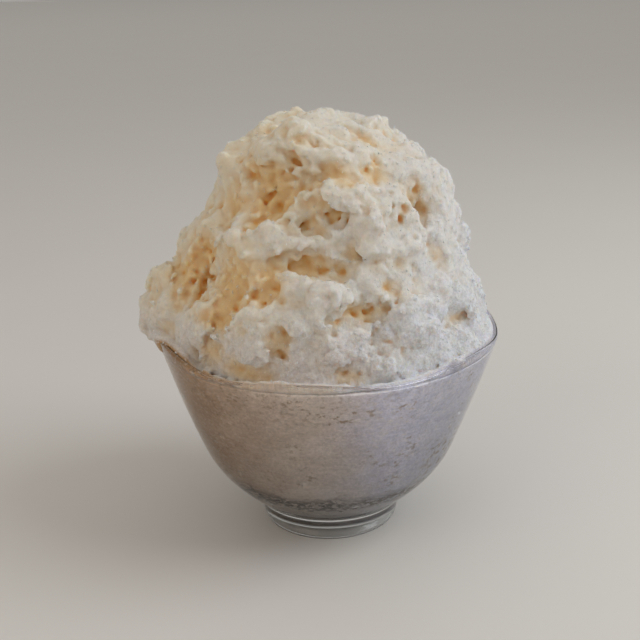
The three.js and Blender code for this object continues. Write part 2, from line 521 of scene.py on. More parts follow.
def vertex_places(mesh):
    """Where a mesh's vertices lie, in millimetres."""
    places = np.zeros(len(mesh.vertices) * 3, np.float32)
    mesh.vertices.foreach_get("co", places)
    return places.reshape(-1, 3) / MM


def evaluated_mesh(piece):
    """A plain mesh of a piece with its modifiers applied."""
    graph = bpy.context.evaluated_depsgraph_get()
    return bpy.data.meshes.new_from_object(piece.evaluated_get(graph))


def set_values(mesh, name, values):
    """Stores one number for each vertex, for the materials to read."""
    layer = mesh.attributes.new(name, "FLOAT", "POINT")
    layer.data.foreach_set("value", np.asarray(values, np.float32))


# ---- Nodes written as expressions ----


class Term:
    """A node's output in an expression. Operators on it add Math nodes."""

    def __init__(self, nodes, socket):
        self.nodes = nodes
        self.socket = socket

    def math(self, operation, *values, clamp=False):
        settings = {"operation": operation, "use_clamp": clamp}
        return self.nodes.add("ShaderNodeMath", settings, dict(enumerate(values)))["Value"]

    def __add__(self, other):
        return self.math("ADD", self, other)

    __radd__ = __add__

    def __sub__(self, other):
        return self.math("SUBTRACT", self, other)

    def __rsub__(self, other):
        return self.math("SUBTRACT", other, self)

    def __mul__(self, other):
        return self.math("MULTIPLY", self, other)

    __rmul__ = __mul__

    def __truediv__(self, other):
        return self.math("DIVIDE", self, other)

    def __rtruediv__(self, other):
        return self.math("DIVIDE", other, self)

    def __pow__(self, other):
        return self.math("POWER", self, other)

    def clamped(self):
        return self.math("ADD", self, 0.0, clamp=True)

    def between(self, low, high):
        """0 below low, 1 above high and a smooth rise between them."""
        settings = {"interpolation_type": "SMOOTHSTEP", "clamp": True}
        ends = {"Value": self, "From Min": low, "From Max": high}
        return self.nodes.add("ShaderNodeMapRange", settings, ends)["Result"]


def socket_of(sockets, name):
    """A socket by its name, or by its number where names repeat."""
    if isinstance(name, str):
        return next(s for s in sockets if s.name == name and s.enabled)
    return sockets[name]


class NodeResult:
    """One node, whose outputs are terms by name."""

    def __init__(self, nodes, node):
        self.nodes = nodes
        self.node = node

    def __getitem__(self, name):
        return Term(self.nodes, socket_of(self.node.outputs, name))


class Nodes:
    """A node tree that is filled by expressions."""

    def __init__(self, tree):
        self.tree = tree

    def add(self, kind, settings=None, values=None):
        """Adds a node, sets its settings and then its sockets, which take values or terms."""
        node = self.tree.nodes.new(kind)
        for name, value in (settings or {}).items():
            setattr(node, name, value)
        for name, value in (values or {}).items():
            self.set(socket_of(node.inputs, name), value)
        return NodeResult(self, node)

    def set(self, socket, value):
        if isinstance(value, Term):
            self.tree.links.new(value.socket, socket)
        else:
            socket.default_value = value

    def mix(self, share, one, other):
        """A colour between two colours."""
        settings = {"data_type": "RGBA", "clamp_factor": True}
        values = {"Factor": share, "A": colour(one), "B": colour(other)}
        return self.add("ShaderNodeMix", settings, values)["Result"]

    def noise(self, place, size, detail=2.0, roughness=0.5, seed=0.0):
        """Soft noise from 0 to 1 in spots of about one size, in metres."""
        settings = {"noise_dimensions": "4D"}
        values = {
            "Vector": place,
            "W": seed,
            "Scale": 1 / size,
            "Detail": detail,
            "Roughness": roughness,
        }
        return self.add("ShaderNodeTexNoise", settings, values)["Fac"]

    def place(self):
        return self.add("ShaderNodeTexCoord")["Object"]

    def layered(self, place, flatness, *noise):
        """Soft noise in spots that are wider than high by a flatness."""
        squeezed = {0: place, 1: (1.0, 1.0, flatness)}
        place = self.add("ShaderNodeVectorMath", {"operation": "MULTIPLY"}, squeezed)["Vector"]
        return self.noise(place, *noise)

    def brightened(self, base, share):
        """A colour multiplied by a number."""
        scaled = {0: base, "Scale": share}
        return self.add("ShaderNodeVectorMath", {"operation": "SCALE"}, scaled)["Vector"]

    def attribute(self, name):
        return self.add("ShaderNodeAttribute", {"attribute_name": name})["Fac"]

    def bump(self, height, strength, distance):
        values = {"Height": height, "Strength": strength, "Distance": distance}
        return self.add("ShaderNodeBump", None, values)["Normal"]


def colour(value):
    """A colour for a socket: a term as it is, or three numbers with an alpha of 1."""
    if isinstance(value, Term):
        return value
    return (*value[:3], 1.0)


def new_material(name):
    """An empty node material and its tree."""
    material = bpy.data.materials.new(name)
    material.use_nodes = True
    material.node_tree.nodes.clear()
    return material, Nodes(material.node_tree)


def principled(nodes, values):
    return nodes.add("ShaderNodeBsdfPrincipled", None, values)["BSDF"]


def finish_material(nodes, shader):
    nodes.add("ShaderNodeOutputMaterial", None, {"Surface": shader})


def milky_colour(nodes, settings, place, grains):
    """White on the ridges, cream where milk lies, tan in the hollows and amber in the pores, the tan and
    amber partly milk pooled there and partly painted shade.
    """
    pore = nodes.attribute("pore")
    hollow = nodes.attribute("hollow")
    milk = nodes.attribute("milk")
    warm = nodes.attribute("warm")
    patches = nodes.noise(place, 0.010, 3.0, 0.55, 2.0)
    stains = nodes.noise(place, 0.0045, 3.0, 0.6, 4.0)
    height = nodes.add("ShaderNodeSeparateXYZ", None, {0: place})["Z"] / MM
    flecks = nodes.noise(place, 0.0021, 4.0, 0.7, 6.0).between(0.5, 0.68)
    milky = (milk + (patches - 0.5) * 0.8 + hollow * 0.25 + warm * 0.6).clamped()
    base = nodes.mix(milky, settings.ice_colour, settings.milk_colour)
    stained = (stains + hollow * 0.25 - 0.06).between(0.5, 0.72) * milky * 0.45
    base = nodes.mix(stained, base, settings.stain_colour)
    damp = 0.03 + 0.42 * (1 - height.between(84.0, 112.0)) * (1 - milky * 0.6)
    base = nodes.mix(flecks * damp, base, settings.fleck_colour)
    # Painted shade, partly milk pooled there: tan where the ice lies sunk in hollows and pools.
    sunk = hollow * 0.7 + warm * 1.1 + (grains - 0.5) * 0.12 + (patches - 0.5) * 0.5 + (milky - 0.6) * 0.3
    sunk = sunk.between(0.0, 1.0)
    base = nodes.mix(sunk * (0.25 + 0.75 * milky) * 0.95, base, settings.hollow_milk_and_shade_colour)
    # Painted shade, partly syrup in the pores: amber where the ice lies deepest in pores and hollows.
    deep = (pore * 0.8 + hollow * 0.35 + warm * 0.15 + (grains - 0.5) * 0.3).between(0.3, 0.85)
    return nodes.mix(deep * (0.32 + 0.63 * milky), base, settings.pore_syrup_and_shade_colour), milky


def ice_material(settings):
    """Milky shaved ice, smooth where milk has soaked in and grainy where it hasn't."""
    material, nodes = new_material("milky_ice")
    place = nodes.place()
    grains = nodes.noise(place, 0.0012, 4.0, 0.75, 5.0)
    base, milky = milky_colour(nodes, settings, place, grains)
    parts = nodes.add("ShaderNodeSeparateXYZ", None, {0: place})
    height = parts["Z"] / MM
    icy = (1 - milky) * (1 - 0.5 * height.between(92.0, 112.0))
    # Painted shade: the heap's low front at the left is darker and tinted grey, where it lies in shadow
    # under the overhang.
    shaded = (1 - height.between(82.0, 100.0)) * (1 - (parts["X"] / MM).between(0.0, 30.0))
    base = nodes.mix(shaded * (1 - milky) * 0.6, base, settings.grey_ice_and_shadow_colour)
    base = nodes.brightened(base, 1.0 - 0.08 * shaded + (grains - 0.5) * (0.2 + 0.75 * icy))
    base = nodes.mix(nodes.attribute("pressed"), base, pressed_colour(nodes, settings, place, grains))
    crystals = nodes.noise(place, 0.0006, 2.0, 0.7, 9.0)
    crumbs = nodes.noise(place, 0.0016, 3.0, 0.6, 11.0)
    relief = (crystals * 0.6 + crumbs) * (0.16 + 0.84 * icy)
    shader = principled(
        nodes,
        {
            "Base Color": base,
            "Roughness": 0.45 + 0.25 * icy,
            "IOR": 1.31,
            "Subsurface Weight": 1.0,
            "Subsurface Radius": (1.0, 0.82, 0.62),
            "Subsurface Scale": 0.0042,
            "Normal": nodes.bump(relief, 1.0, 0.0009),
        },
    )
    finish_material(nodes, shader)
    return material


def loose_material(settings):
    """Loose bits of ice: whiter and glossier than the ice they lie on."""
    material, nodes = new_material("loose_ice")
    place = nodes.place()
    grains = nodes.noise(place, 0.0012, 3.0, 0.65, 5.0)
    base, milky = milky_colour(nodes, settings, place, grains)
    base = nodes.mix(0.45, base, settings.ice_colour)
    shader = principled(
        nodes,
        {
            "Base Color": nodes.brightened(base, 1.02 + (grains - 0.5) * 0.3),
            "Roughness": 0.22 + 0.3 * milky,
            "IOR": 1.31,
            "Subsurface Weight": 0.6,
            "Subsurface Radius": (1.0, 0.9, 0.8),
            "Subsurface Scale": 0.001,
        },
    )
    finish_material(nodes, shader)
    return material


def pressed_colour(nodes, settings, place, grains):
    """Wet ice pressed against the glass: fine-grained, brown to one side and lilac to the other. The brown
    is painted reflection of a brown tray and painted shade, and the lilac is painted cool window light. The
    dark specks and gaps are painted shade, and it is painted darker towards the bottom.
    """
    parts = nodes.add("ShaderNodeSeparateXYZ", None, {0: place})
    height = parts["Z"] / MM
    back = (parts["Y"] / MM).between(-10.0, 30.0)
    side = parts["X"] / (2 * rim_radius() * MM) * (1 - 0.65 * back) + 0.5
    clouds = nodes.layered(place, 1.5, 0.018, 4.0, 0.65, 2.0)
    frost = nodes.layered(place, 1.6, 0.009, 5.0, 0.72, 6.0)
    layers = nodes.layered(place, 3.0, 0.004, 4.0, 0.7, 3.0)
    crystals = nodes.layered(place, 1.7, 0.0019, 4.0, 0.75, 13.0)
    across = side + (clouds - 0.5) * 0.25
    # Painted light: the right side, where the cool window light falls, is tinted lilac.
    cool_lit_side = across.between(0.46, 0.7)
    # Painted reflection of a brown tray and painted shade: the left side is brown.
    base = nodes.mix(across.between(0.1, 0.52), settings.brown_reflection_and_shade_colour, settings.grey_ice_and_shadow_colour)
    base = nodes.mix(cool_lit_side, base, settings.lilac_window_light_colour)
    base = nodes.mix(frost.between(0.35, 0.8) * side.between(0.1, 0.5) * 0.5, base, settings.frost_colour)
    # Painted shade: dark brown specks of air gaps against the glass, with the tray's brown seen in them, in
    # streaks under the rim and on the left flank.
    specks = nodes.layered(place, 1.4, 0.0022, 3.0, 0.6, 7.0)
    strewn = nodes.noise(place, 0.010, 2.0, 0.5, 8.0).between(0.52, 0.64)
    streaks = height.between(58.0, 70.0) * (1 - height.between(75.0, 78.0)) * (1 - cool_lit_side * 0.7)
    left_flank = (1 - side.between(0.1, 0.3)) * height.between(26.0, 36.0)
    gap_specks = specks.between(0.53, 0.65) * (strewn * 0.6 + streaks * 0.55 + left_flank * 0.5).clamped()
    base = nodes.mix(gap_specks, base, settings.gap_speck_shade_colour)
    # Painted shade: more gap specks on the right flank, low in the bowl.
    flank = side.between(0.72, 0.86) * height.between(18.0, 24.0) * (1 - height.between(40.0, 52.0))
    base = nodes.mix(specks.between(0.5, 0.6) * flank * 0.9, base, settings.gap_speck_shade_colour)
    gaps = nodes.layered(place, 2.0, 0.0024, 4.0, 0.75, 10.0)
    patchy = nodes.noise(place, 0.013, 2.0, 0.5, 12.0)
    # Painted shadow: near black in the gaps of a low band against the glass.
    low_band = height.between(19.5, 22.0) * (1 - (height + patchy * 14).between(31.5, 37.0))
    base = nodes.mix(gaps.between(0.45, 0.5) * low_band, base, settings.gap_shadow_colour)
    base = nodes.mix(crystals.between(0.5, 0.66) * (0.3 + 0.35 * cool_lit_side), base, settings.frost_colour)
    # Painted light and shade: lighter just right of the middle, darker at the far right, and darker towards
    # the bottom.
    lit = 0.95 + 0.12 * side.between(0.45, 0.66) - 0.3 * side.between(0.68, 0.9)
    shade_by_height_and_side = (height / 70.0) ** 0.55 * lit
    uneven = (layers - 0.5) * 0.55 + (grains - 0.5) * 0.9 + (clouds - 0.5) * 0.4 + (frost - 0.5) * 0.25
    return nodes.brightened(base, shade_by_height_and_side * (1.0 + uneven))


def filling_material(settings):
    """The ice inside the bowl."""
    material, nodes = new_material("pressed_ice")
    place = nodes.place()
    grains = nodes.noise(place, 0.0009, 3.0, 0.7, 5.0)
    base = pressed_colour(nodes, settings, place, grains)
    shader = principled(
        nodes,
        {
            "Base Color": base,
            "Roughness": 0.5,
            "IOR": 1.31,
            "Subsurface Weight": 0.5,
            "Subsurface Radius": (1.0, 0.9, 0.8),
            "Subsurface Scale": 0.0012,
            "Normal": nodes.bump(grains, 0.6, 0.0006),
        },
    )
    finish_material(nodes, shader)
    return material


def glass_material():
    """Clear colourless glass that lets lamp light through to the ice."""
    material, nodes = new_material("clear_glass")
    place = nodes.place()
    waves = nodes.noise(place, 0.02, 1.0, 0.4, 3.0)
    smears = nodes.noise(place, 0.006, 4.0, 0.6, 7.0)
    glass = principled(
        nodes,
        {
            "Base Color": (0.97, 0.985, 0.985, 1.0),
            "Roughness": smears.between(0.55, 0.8) * 0.05 + 0.01,
            "IOR": 1.5,
            "Transmission Weight": 1.0,
            "Normal": nodes.bump(waves, 0.15, 0.001),
        },
    )
    clear = nodes.add("ShaderNodeBsdfTransparent", None, {"Color": (0.98, 0.99, 0.99, 1.0)})["BSDF"]
    lamp_ray = nodes.add("ShaderNodeLightPath")["Is Shadow Ray"]
    mixed = nodes.add("ShaderNodeMixShader", None, {0: lamp_ray, 1: glass, 2: clear})["Shader"]
    finish_material(nodes, mixed)
    return material


def floor_material(settings):
    """A pale matt floor with the faintest mottling."""
    material, nodes = new_material("pale_floor")
    mottle = nodes.noise(nodes.place(), 0.12, 3.0, 0.5, 1.0)
    shade = tuple(0.97 * part for part in settings.floor_colour)
    painted = nodes.mix(mottle, settings.floor_colour, shade)
    shader = principled(nodes, {"Base Color": painted, "Roughness": 0.6})
    finish_material(nodes, shader)
    return material


# ---- The ice ----


def node_box(node):
    """A CAD node's lowest and highest corners, in millimetres."""
    low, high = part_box(node)
    return np.array(low) / MM, np.array(high) / MM


def bowl_axis():
    """Where the bowl's own axis stands, in millimetres."""
    low, high = node_box(BOWL_NODE)
    return (low[0] + high[0]) / 2, (low[1] + high[1]) / 2


def rim_radius():
    low, high = node_box(BOWL_NODE)
    return (high[0] - low[0]) / 2


def surface_places(grid, count, lowest, rng):
    """Random places on the ice above a height, and the outward directions there."""
    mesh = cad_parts[ICE_NODE].data
    mesh.calc_loop_triangles()
    corners = np.array([[mesh.vertices[i].co for i in t.vertices] for t in mesh.loop_triangles]) / MM
    middles = corners.mean(axis=1)
    areas = np.linalg.norm(np.cross(corners[:, 1] - corners[:, 0], corners[:, 2] - corners[:, 0]), axis=1)
    weights = np.where(middles[:, 2] > lowest, areas, 0.0)
    pick = rng.choice(len(corners), count, p=weights / weights.sum())
    shares = rng.dirichlet((1, 1, 1), count)
    places = np.einsum("ij,ijk->ik", shares, corners[pick])
    return settled(grid, places)


def milkiness(across, height):
    """How much milk the heap holds, from 0 to 1: most at the left and on top."""
    leftness = (bowl_axis()[0] - across) / rim_radius()
    above_rim = eased(height, 84.0, 104.0)
    return clamp01(0.16 + 0.5 * leftness + 0.36 * above_rim + 0.3 * (height - 100.0) / 60.0)


def settled(grid, places):
    """Places moved onto the ice's surface, and the outward directions there."""
    for _ in range(4):
        away = np.clip(grid.at(grid.field, places), -2.5, 2.5)
        places = places - away[:, None] * grid.slope(places)
    return places, grid.slope(places)


def mark_frame(grid, mark):
    """Where a mark lies on the ice, and its three directions there."""
    centre = grid.seen(mark.across, mark.down)
    return centre, facing(grid.slope(centre[None])[0], 0.0)


def swell(grid, centre, axes, mark, torn):
    """Adds a rounded lump of a mark's size."""
    thick = 0.35 * (mark.width + mark.height) / 2
    radii = (mark.width / 2, mark.height / 2, thick)
    grid.add_blob(centre - axes[2] * (thick - mark.depth), radii, axes, 2.6, torn, 0.12)


def carve(grid, centre, axes, mark, torn):
    """Cuts a hollow of a mark's size, with a shallow funnel round it."""
    funnel = np.array((mark.width * 0.9, mark.height * 0.9, mark.depth * 0.4))
    grid.cut_blob(centre, funnel, axes, 3.0, torn, 0.4)
    radii = (mark.width / 2, mark.height / 2, mark.depth * 0.75)
    grid.cut_blob(centre, radii, axes, 1.8, torn, 0.6)


def far_frames(grid, count, rng):
    """Random places on the side of the ice that the camera doesn't see, and their directions."""
    places, normals = surface_places(grid, count * 3, BACK_MARKS_START, rng)
    facing_camera = np.einsum("ij,ij->i", np.array(CAMERA_PLACE) - places, normals)
    unseen = np.flatnonzero(facing_camera < OUT_OF_SIGHT)[:count]
    return [(places[i], facing(normals[i], rng.uniform(-0.5, 0.5))) for i in unseen]


def random_mark(rng, least, most, deep):
    """A mark of a random size, a little wider than high, and as deep as a share of its width."""
    width = rng.uniform(least, most)
    return Mark(0, 0, width, width * rng.uniform(0.5, 1.0), width * rng.uniform(0.7, 1.3) * deep)


def shape_heap(grid, glass, settings):
    """Folds, swellings, hollows, pores and crumbs on the heap above the rim."""
    rng = np.random.default_rng(settings.seed)
    ice = blurred(grid.distances_to(ICE_NODE, 12.0), max(1, round(1.6 / grid.cell)))
    free = eased(glass, 0.3, 3.2)
    grid.field = ice - settings.bite * 1.6 * (1 - free) + settings.shrink * free
    torn = grid.noise(2.6, 24)
    for mark in SWELLINGS:
        swell(grid, *mark_frame(grid, mark), mark, torn)
    for centre, axes in far_frames(grid, settings.far_marks, rng):
        swell(grid, centre, axes, random_mark(rng, 8.0, 16.0, 0.17), torn)
    for mark in TRIMS:
        centre, axes = mark_frame(grid, mark)
        radii = (mark.width / 2, mark.height / 2, mark.depth)
        grid.cut_blob(centre, radii, axes, 4.0, torn, 0.15)
    puffs = grid.lumps(10.0, 21) * 0.7 + grid.lumps(5.2, 22) * 0.42 + grid.noise(3.2, 23) * 0.14
    grid.field = grid.field - puffs * settings.fold_depth * free
    for mark in HOLLOWS:
        carve(grid, *mark_frame(grid, mark), mark, torn)
    for centre, axes in far_frames(grid, settings.far_marks, rng):
        carve(grid, centre, axes, random_mark(rng, 4.0, 11.0, 0.4), torn)
    cut_pores(grid, settings, free, rng)
    add_crumbs(grid, settings, free, rng)
    grain = 1.35 - milkiness(grid.axis(0), grid.axis(2))
    grid.field = grid.field + (grid.noise(1.7, 25) * 0.11 + grid.noise(1.15, 26) * 0.12) * grain * free
    grid.field = np.maximum(grid.field, -glass - settings.bite)


def cut_pores(grid, settings, free, rng):
    """Small torn pores in clusters, more of them where the ice is hollow."""
    places, normals = surface_places(grid, settings.pores * 5, RIM_HEIGHT, rng)
    clusters = grid.at(grid.noise(7.0, 27) + 0.7 * grid.noise(3.2, 28), places)
    sunk = -grid.at(blurred(np.clip(grid.field, -6, 6), round(3.0 / grid.cell)), places)
    score = clusters + 0.8 * sunk + 0.25 * rng.standard_normal(len(places))
    score = score + 0.5 * milkiness(places[:, 0], places[:, 2])
    score = np.where(grid.at(free, places) > 0.6, score, -9.0)
    chosen = np.argsort(-score)[: settings.pores]
    torn = grid.noise(1.5, 29)
    for index in chosen:
        size = 0.45 + 0.8 * rng.random() ** 2.4
        stretch = rng.uniform(1.0, 2.1)
        axes = facing(normals[index], rng.uniform(0, math.pi))
        funnel = np.array((size * stretch * 2.2, size * 2.0, size * 1.1))
        grid.cut_blob(places[index], funnel, axes, 1.6, torn, 0.4)
        deep = size * rng.uniform(0.9, 1.7)
        centre = places[index] - normals[index] * (deep * 0.3 + size * 0.5)
        radii = (size * stretch, size / stretch**0.5, deep)
        grid.cut_blob(centre, radii, axes, 0.4, torn, 0.8)


def add_crumbs(grid, settings, free, rng):
    """Small clumps of flakes that stand out of the surface."""
    places, normals = surface_places(grid, settings.crumbs, RIM_HEIGHT, rng)
    open_share = grid.at(free, places)
    torn = grid.noise(1.5, 30)
    for place, normal, share in zip(places, normals, open_share):
        size = 0.4 + 0.5 * rng.random() ** 2
        stretch = rng.uniform(1.0, 2.0)
        turn = rng.uniform(0, math.pi)
        if share > 0.4:
            radii = (size * stretch, size / stretch**0.5, size * 0.8)
            grid.add_blob(place, radii, facing(normal, turn), 1.0, torn, 0.3)


def pooled(grid, places, settings):
    """How strongly places lie in the pools, from 0 to 1, with soft edges."""
    rng = np.random.default_rng(settings.seed + 3)
    near = strongest(places, [(mark_frame(grid, pool), pool) for pool in POOLS])
    pools = []
    for spot in far_frames(grid, settings.far_marks, rng):
        size = rng.uniform(8.0, 18.0)
        pools.append((spot, Pool(0, 0, size, size * 0.7, rng.uniform(0.3, 0.9))))
    return np.maximum(near, strongest(places, pools) * eased(places[:, 1], 8.0, 26.0))


def strongest(places, pools):
    """How strongly places lie in the strongest of some pools."""
    total = np.zeros(len(places))
    for (centre, axes), pool in pools:
        radii = (0.6 * pool.width, 0.6 * pool.height, 10.0)
        local = (places - centre) @ axes.T / radii
        total = np.maximum(total, pool.strength * np.exp(-(local**2).sum(axis=1)))
    return total


def tint_ice(mesh, grid, places, glass, settings):
    """Stores for each vertex how deep it lies, how milky it is and how many loose grains it holds."""
    solid = clamp01(0.5 - grid.field / grid.cell)
    pore = 2 * grid.at(blurred(solid, max(1, round(1.0 / grid.cell))), places) - 1
    near = blurred(np.clip(grid.field, -6, 6), round(2.4 / grid.cell))
    hollow = -grid.at(near, places) / 1.6
    milk = milkiness(places[:, 0], places[:, 2])
    open_air = (1 - eased(pore, -0.15, 0.2)) * (1 - eased(hollow, 0.1, 0.45))
    loose = (1.0 - 0.75 * milk) * open_air * eased(places[:, 2], RIM_HEIGHT - 2.0, RIM_HEIGHT)
    set_values(mesh, "pressed", 1 - eased(grid.at(glass, places), 0.3, 1.5))
    set_values(mesh, "pore", pore)
    set_values(mesh, "hollow", hollow)
    set_values(mesh, "milk", milk)
    set_values(mesh, "warm", pooled(grid, places, settings))
    set_values(mesh, "loose", loose)


def place_piece(name, mesh, material, replaced=None):
    """Links a finished mesh as a piece that rides on the object's one body."""
    piece = linked(name, mesh)
    mesh.materials.clear()
    mesh.materials.append(material)
    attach(piece, BODY)
    if replaced:
        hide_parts(replaced)
    return piece


def build_heap(settings):
    """The heap of ice above the rim."""
    low, high = node_box(ICE_NODE)
    grid = Grid(low * (1, 1, 0) + (-5, -5, HEAP_FLOOR - 2), high + 5, settings.cell)
    glass = grid.distances_to(BOWL_NODE, 8.0)
    shape_heap(grid, glass, settings)
    away = np.hypot(grid.axis(0) - bowl_axis()[0], grid.axis(1) - bowl_axis()[1])
    within = 1 - eased(away, rim_radius() - 3.0, rim_radius() - 1.0)
    tuck = 1 - eased(grid.axis(2), FILLING_TOP - 1.5, FILLING_TOP + 1.0)
    grid.field = np.maximum(grid.field + 1.5 * tuck * within, HEAP_FLOOR - grid.axis(2))
    mesh, places = mesh_of(grid, "ice_heap", settings.heap_triangles)
    tint_ice(mesh, grid, places, glass, settings)
    place_piece("ice_heap", mesh, ice_material(settings), ICE_NODE)


def scatter_tree(name, segments, rings):
    """Geometry nodes that strew small faceted bits over a surface, turned every way."""
    tree = bpy.data.node_groups.new(name, "GeometryNodeTree")
    for title, kind in (
        ("Surface", "Geometry"),
        ("Density", "Float"),
        ("Least", "Vector"),
        ("Most", "Vector"),
        ("Lift", "Float"),
        ("Seed", "Int"),
        ("Material", "Material"),
    ):
        tree.interface.new_socket(title, in_out="INPUT", socket_type="NodeSocket" + kind)
    tree.interface.new_socket("Bits", in_out="OUTPUT", socket_type="NodeSocketGeometry")
    nodes = Nodes(tree)
    given = nodes.add("NodeGroupInput")
    loose = nodes.add("GeometryNodeInputNamedAttribute", {"data_type": "FLOAT"}, {"Name": "loose"})
    density = given["Density"] * loose["Attribute"]
    spread = {"Mesh": given["Surface"], "Density": density, "Seed": given["Seed"]}
    spots = nodes.add("GeometryNodeDistributePointsOnFaces", {"distribute_method": "RANDOM"}, spread)
    lift = nodes.add("FunctionNodeRandomValue", {"data_type": "FLOAT"}, {"Min": 0.0, "Max": given["Lift"]})
    offset = nodes.brightened(spots["Normal"], lift["Value"])
    raised = nodes.add("GeometryNodeSetPosition", None, {"Geometry": spots["Points"], "Offset": offset})
    bit = nodes.add("GeometryNodeMeshUVSphere", None, {"Segments": segments, "Rings": rings, "Radius": 1.0})
    vector = {"data_type": "FLOAT_VECTOR"}
    every_way = {"Min": (0, 0, 0), "Max": (2 * math.pi,) * 3, "Seed": 1}
    turn = nodes.add("FunctionNodeRandomValue", vector, every_way)
    between = {"Min": given["Least"], "Max": given["Most"], "Seed": 2}
    size = nodes.add("FunctionNodeRandomValue", vector, between)
    placed = {
        "Points": raised["Geometry"],
        "Instance": bit["Mesh"],
        "Rotation": turn["Value"],
        "Scale": size["Value"],
    }
    bits = nodes.add("GeometryNodeInstanceOnPoints", None, placed)
    real = nodes.add("GeometryNodeRealizeInstances", None, {"Geometry": bits["Instances"]})
    painted = nodes.add(
        "GeometryNodeSetMaterial", None, {"Geometry": real["Geometry"], "Material": given["Material"]}
    )
    nodes.add("NodeGroupOutput", None, {"Bits": painted["Geometry"]})
    return tree


def strew(name, surface, tree, values):
    """A piece of loose bits, strewn over the mesh of another piece."""
    carrier = linked(name + "_carrier", surface)
    strewer = carrier.modifiers.new("strew", "NODES")
    strewer.node_group = tree
    for socket in tree.interface.items_tree:
        if socket.in_out == "INPUT" and socket.name in values:
            strewer[socket.identifier] = values[socket.name]
    mesh = evaluated_mesh(carrier)
    bpy.data.objects.remove(carrier)
    mesh.name = name
    place_piece(name, mesh, values["Material"])


def build_loose(settings):
    """Flakes, grains and needles of ice that lie loose on the heap."""
    surface = bpy.data.objects["ice_heap"].data
    material = loose_material(settings)
    flat = scatter_tree("flakes", 5, 3)
    small = scatter_tree("grains", 3, 2)
    kinds = (
        ("ice_flakes", flat, settings.flake_density, (0.35, 0.25, 0.08), (0.95, 0.6, 0.2), 0.25),
        ("ice_grains", small, settings.grain_density, (0.18, 0.16, 0.12), (0.46, 0.36, 0.28), 0.2),
        ("ice_needles", small, settings.needle_density, (0.07, 0.07, 0.5), (0.14, 0.14, 1.3), 0.3),
    )
    for index, (name, tree, density, least, most, lift) in enumerate(kinds):
        values = {
            "Density": density,
            "Least": tuple(length * MM for length in least),
            "Most": tuple(length * MM for length in most),
            "Lift": lift * MM,
            "Seed": settings.seed + index,
            "Material": material,
        }
        strew(name, surface, tree, values)


def build_filling(settings):
    """The ice inside the bowl, which reaches just into the glass, with air pockets against it."""
    rng = np.random.default_rng(settings.seed + 1)
    low, high = node_box(ICE_NODE)
    # The overhang at the left is outside the bowl, so the grid starts 8 mm further in.
    low = low + (8, 0, -2)
    high = high * (1, 1, 0) + (0, 0, FILLING_TOP + 2)
    grid = Grid(low, high, settings.cell)
    glass = grid.distances_to(BOWL_NODE, 6.0)
    grid.field = blurred(grid.distances_to(ICE_NODE, 10.0), 1) - 2 * settings.bite
    torn = grid.noise(1.5, 31)
    places, normals = pocket_places(grid, settings.pockets, rng)
    for place, normal in zip(places, normals):
        size = 0.6 + 0.7 * rng.random() ** 2
        radii = (size * 1.6, size * 0.8, size)
        grid.cut_blob(place, radii, facing(normal, rng.normal(0.0, 0.3)), 0.3, torn, 0.7)
    grid.field = np.maximum(grid.field, -glass - settings.bite)
    grid.field = np.maximum(grid.field, grid.axis(2) - FILLING_TOP)
    mesh, places = mesh_of(grid, "ice_in_bowl", settings.filling_triangles)
    place_piece("ice_in_bowl", mesh, filling_material(settings))


def pocket_places(grid, count, rng):
    """Random places on the ice against the glass, most of them low, and their outward directions."""
    height = rng.uniform(LOWEST_POCKET, HIGHEST_POCKET, count)
    low_band = rng.random(count) < 0.75
    height = np.where(low_band, rng.normal(LOW_BAND, 3.0, count), height)
    turn = rng.uniform(0, 2 * math.pi, count)
    axis = bowl_axis()
    middle = np.stack([np.full(count, axis[0]), np.full(count, axis[1]), height], axis=1)
    ray = np.stack([np.cos(turn), np.sin(turn), np.zeros(count)], axis=1)
    reach = np.arange(15.0, rim_radius() + 1, 0.5)
    along = middle[:, None, :] + reach[None, :, None] * ray[:, None, :]
    outside = grid.at(grid.field, along) > 0
    first = np.argmax(outside, axis=1)
    places = along[np.arange(count), first]
    return settled(grid, places)


def build_bowl():
    """The glass bowl, smoothed from its CAD node."""
    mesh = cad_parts[BOWL_NODE].data.copy()
    mesh.name = "glass_bowl"
    shell = bmesh.new()
    shell.from_mesh(mesh)
    bmesh.ops.remove_doubles(shell, verts=shell.verts, dist=1e-6)
    bmesh.ops.join_triangles(
        shell, faces=shell.faces, angle_face_threshold=0.6, angle_shape_threshold=1.2
    )
    shell.to_mesh(mesh)
    shell.free()
    piece = place_piece("glass_bowl", mesh, glass_material(), BOWL_NODE)
    smooth = piece.modifiers.new("smooth", "SUBSURF")
    smooth.levels = smooth.render_levels = 2
    mesh.shade_smooth()


# ---- The stage ----


def add_camera():
    """The camera, as the numbers at the top say."""
    right, up, forward = camera_axes()
    data = bpy.data.cameras.new("camera")
    data.lens = CAMERA_LENS
    data.sensor_width = CAMERA_SENSOR
    data.clip_start = 0.01
    camera = linked("camera", data)
    turn = Matrix((right, up, -forward)).transposed().to_4x4()
    camera.matrix_world = Matrix.Translation(Vector(CAMERA_PLACE) * MM) @ turn
    bpy.context.scene.camera = camera


def add_lamp(name, place, aim, size, power, tint):
    data = bpy.data.lights.new(name, "AREA")
    data.shape = "DISK"
    data.size = size
    data.energy = power
    data.color = tint
    lamp = linked(name, data)
    lamp.location = place
    lamp.rotation_euler = (Vector(aim) - Vector(place)).to_track_quat("-Z", "Y").to_euler()


